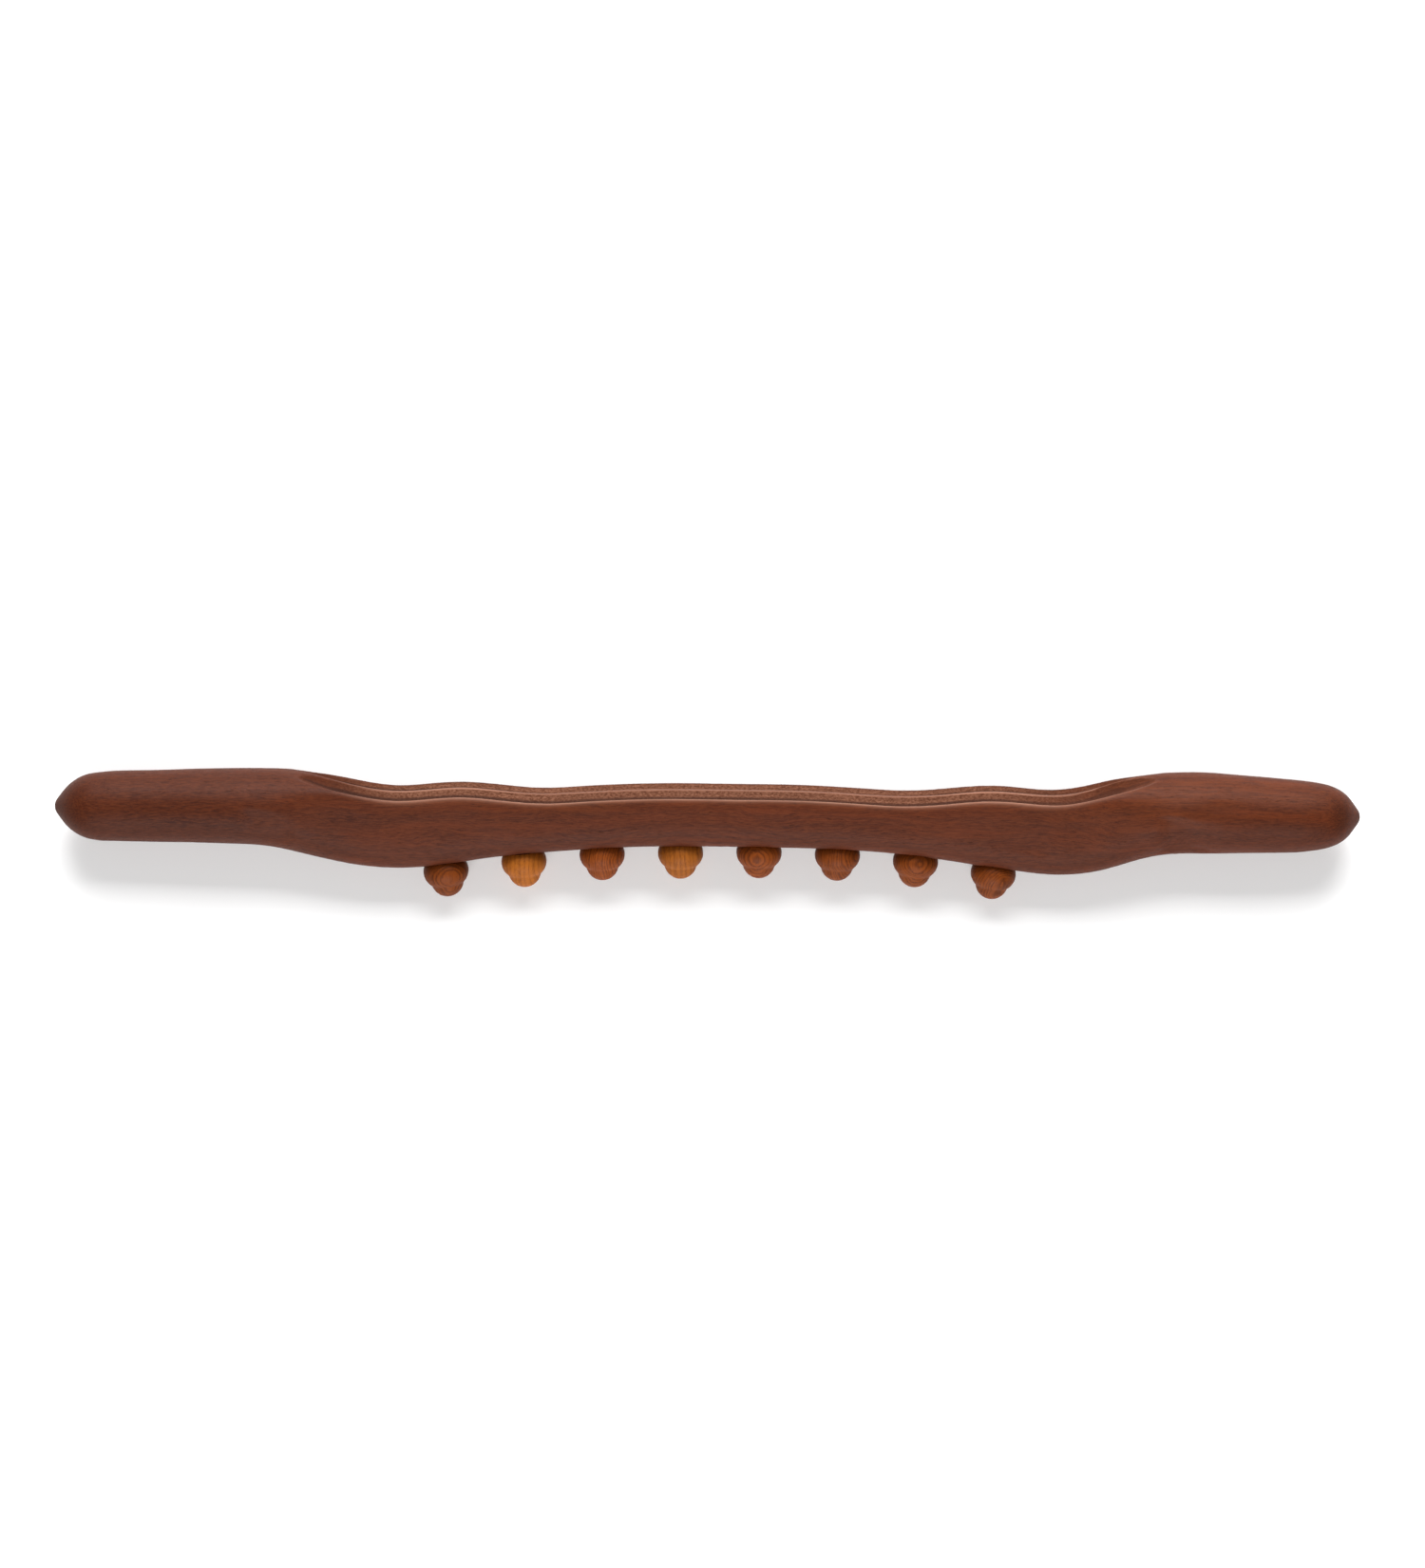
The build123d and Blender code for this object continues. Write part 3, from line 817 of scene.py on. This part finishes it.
def wear_of_back(angles, radii, depth):
    """Where the grooves are milled, where the edges are paled by sanding wear and a painted highlight, and
    how much painted shade each groove bottom gets.
    """
    across = radii * np.cos(angles)
    milled = smooth_step(depth, *MILLED)
    at_lip = smooth_step(across, LIP_FROM, LIP_FROM + LIP_BLEND)
    rubbed_and_lit = (soften_around(milled, RIDGE_WEAR_AND_HIGHLIGHT) * (1 - at_lip)
              + soften_around(milled, LIP_WEAR_AND_HIGHLIGHT) * at_lip)
    worn_and_lit = np.clip(rubbed_and_lit * WEAR_AND_HIGHLIGHT_GAIN, 0, 1) * (1 - milled) * smooth_step(across, *WEAR_AND_HIGHLIGHT_BEYOND)
    far_side = 1 + FAR_GROOVE_SHADE * (1 - smooth_step(across, FAR_GROOVE_FROM, 0.0))
    hollow_shade = np.clip(depth / GROOVE_DEPTH * far_side, 0, 1.2)
    return milled, worn_and_lit, hollow_shade


def shaded_bottom_lines(across, depth):
    """A thin line of painted shade along the bottom of each groove, up to where it runs out."""
    near = across > 0
    deepest = np.where(near, (depth * near).max(axis=1)[:, None], (depth * ~near).max(axis=1)[:, None])
    share = depth / np.maximum(deepest, SHALLOWEST_SHADED * GROOVE_DEPTH)
    return GROOVE_SHADE_FROM + BOTTOM_LINE_SHADE * smooth_step(share, *BOTTOM_LINE)


def stick_body():
    places = stations()
    beads = bead_axes()
    centres, angles, radii = sample_skin(places, beads)
    finished, depth = finished_skin(places, angles, radii)
    finished = knife_facets(places, angles, centres, finished)
    kept = columns_around(angles)
    directions = np.outer(np.cos(angles[kept]), FLANK) + np.outer(np.sin(angles[kept]), BACK)
    points = centres[:, None] + directions[None] * finished[:, kept, None]
    everything = np.vstack([points.reshape(-1, 3), LEFT_TIP, RIGHT_TIP])
    bar = mesh_object("carved_bar", everything, ring_faces(len(places), len(kept)))
    milled, worn_and_lit, hollow_shade = [values[:, kept] for values in wear_of_back(angles, radii, depth)]
    across = (radii * np.cos(angles))[:, kept]
    hollow_shade = np.maximum(hollow_shade, shaded_bottom_lines(across, depth[:, kept]))
    for name, values in (("milled", milled), ("worn_and_lit", worn_and_lit), ("hollow_shade", hollow_shade)):
        set_values(bar, name, np.append(values.ravel(), [0, 0]))     # the tips have none
    cut_sockets(bar, beads)
    bar.data.materials.clear()
    bar.data.materials.append(STICK_WOOD)
    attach(bar, "root")
    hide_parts("stick_body")


# Each bead was turned from its own blank: (turn of the growth layers about the bead's axis,
# their lean along it, where along the blank the bead was cut, tone), degrees and millimetres.
BLANKS = [(14, 10, (3, 0, 1.6), 1.02), (84, 3, (40, 2, 0.4), 1.06), (76, 8, (90, 1, 5.2), 1.37),
          (93, -3, (140, 5, 2.9), 0.93), (-4, 4, (190, 0, 8.1), 1.24), (66, -6, (240, 3, 3.3), 1.09),
          (8, -12, (290, 1, 6.4), 1.14), (34, 26, (350, 4, 9.0), 1.09)]


def turned_bead(name, blank):
    """One bead, with its place in the blank (wood fibre coordinates) stored on its mesh."""
    made, seat, axis, beside, across, points = bead(name)
    turn, lean, cut_at, tone = radians(blank[0]), radians(blank[1]), np.array(blank[2]), blank[3]
    rel = (points - seat) / MM
    along, side, up = rel @ axis, rel @ beside, rel @ across
    layer = up * cos(turn) + side * sin(turn)
    level = side * cos(turn) - up * sin(turn)
    fibre = np.stack([along * cos(lean) - layer * sin(lean), level,
                      layer * cos(lean) + along * sin(lean)], axis=1) + cut_at
    attribute = made.data.attributes.new("fibre", "FLOAT_VECTOR", "POINT")
    attribute.data.foreach_set("vector", fibre.astype(np.float32).ravel())
    set_values(made, "tone", np.full(len(points), tone))
    amber = name in AMBER_BEADS
    made.data.materials.append(AMBER_WOOD if amber else RUSSET_WOOD)
    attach(made, "root")
    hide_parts(name)


for name, blank in zip(BEADS, BLANKS):
    turned_bead(name, blank)
stick_body()


# ---- table and light ----
TABLE_HALF = 6.0                          # metres


def floor():
    mesh = bpy.data.meshes.new("pale_table")
    corners = [(-TABLE_HALF, -TABLE_HALF, 0), (TABLE_HALF, -TABLE_HALF, 0),
               (TABLE_HALF, TABLE_HALF, 0), (-TABLE_HALF, TABLE_HALF, 0)]
    mesh.from_pydata(corners, [], [(0, 1, 2, 3)])
    made = bpy.data.objects.new("pale_table", mesh)
    bpy.context.scene.collection.objects.link(made)
    material, _, shader = new_material("pale_table_top")
    shader.inputs["Base Color"].default_value = (0.96, 0.96, 0.96, 1)
    shader.inputs["Roughness"].default_value = 0.8
    mesh.materials.append(material)


def softbox(name, place, aim, size, power):
    data = bpy.data.lights.new(name, "AREA")
    data.shape = "RECTANGLE"
    data.size, data.size_y = size
    data.energy = power
    made = bpy.data.objects.new(name, data)
    bpy.context.scene.collection.objects.link(made)
    made.location = place
    made.rotation_euler = (Vector(aim) - Vector(place)).to_track_quat("-Z", "Y").to_euler()


def studio():
    world = bpy.data.worlds.new("soft_studio")
    bpy.context.scene.world = world
    world.use_nodes = True
    background = world.node_tree.nodes["Background"]
    background.inputs["Color"].default_value = rgb(1, 1, 1)
    background.inputs["Strength"].default_value = 0.17
    softbox("back_softbox", place=(0.05, 1.55, 1.05), aim=(0, 0, 0), size=(1.7, 1.3), power=69)
    softbox("front_softbox", place=(-0.05, -1.55, 1.05), aim=(0, 0, 0), size=(1.7, 1.3), power=41)


floor()
studio()
